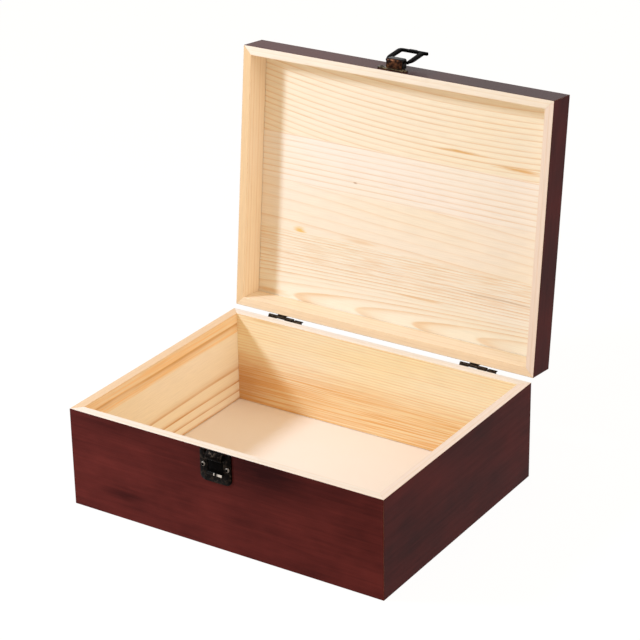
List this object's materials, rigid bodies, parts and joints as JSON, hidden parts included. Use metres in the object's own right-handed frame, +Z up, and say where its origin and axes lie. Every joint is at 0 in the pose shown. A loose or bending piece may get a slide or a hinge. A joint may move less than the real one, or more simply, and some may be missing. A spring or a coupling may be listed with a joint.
{
  "type": "keepsake box",
  "caption": "Rectangular wooden keepsake box, stained outside and bare inside, with a shallow lid on stop hinges that hold it open and a loop clasp that closes over a nose.",
  "frame": {"origin": "the middle of the box's underside, on the surface it stands on", "axes": "+Z is up, -Y is the front with the clasp, +Y is the back with the hinges, +X is to the right seen from the front"},
  "size_m": [0.29, 0.299, 0.3227],
  "materials": {
    "stained_wood": "dark mahogany stain under a satin coat on the outside; bare pale pine on the rims and inside",
    "pale_wood": "bare edge-glued pine, stained on its outer face",
    "plywood": "bare pale plywood",
    "aged_bronze": "dark antique bronze on thin pressed steel, worn bright at the edges",
    "screw_steel": "darkened steel"
  },
  "bodies": {
    "base": {"front_wall": "stained_wood", "right_wall": "stained_wood", "back_wall": "stained_wood", "left_wall": "stained_wood", "bottom_panel": "plywood", "catch_plate": "aged_bronze", "catch_tongue": "screw_steel", "catch_screw_left": "screw_steel", "catch_screw_right": "screw_steel", "hinge_base_leaf_left": "aged_bronze", "hinge_base_leaf_right": "aged_bronze", "hinge_pin_left": "aged_bronze", "hinge_pin_right": "aged_bronze", "base_leaf_screw_left_outer": "screw_steel", "base_leaf_screw_left_inner": "screw_steel", "base_leaf_screw_right_outer": "screw_steel", "base_leaf_screw_right_inner": "screw_steel"},
    "lid": {"lid_front_rail": "stained_wood", "lid_right_rail": "stained_wood", "lid_back_rail": "stained_wood", "lid_left_rail": "stained_wood", "lid_panel": "pale_wood", "clasp_mount": "aged_bronze", "clasp_screw_left": "screw_steel", "clasp_screw_right": "screw_steel", "hinge_lid_leaf_left": "aged_bronze", "hinge_lid_leaf_right": "aged_bronze", "lid_leaf_screw_left_outer": "screw_steel", "lid_leaf_screw_left_inner": "screw_steel", "lid_leaf_screw_right_outer": "screw_steel", "lid_leaf_screw_right_inner": "screw_steel"},
    "clasp": {"clasp_loop": "aged_bronze", "clasp_pin": "aged_bronze"}
  },
  "joints": [
    {"name": "lid_hinge", "type": "hinge", "parent": "base", "child": "lid", "pos_m": [0, 0.1163, 0.08562], "axis": [1, 0, 0], "range_deg": [0, 95.8]},
    {"name": "clasp_hinge", "type": "hinge", "parent": "lid", "child": "clasp", "pos_m": [-0.0038, 0.15373, 0.31933], "axis": [1, 0, 0], "range_deg": [0, 177]}
  ]
}
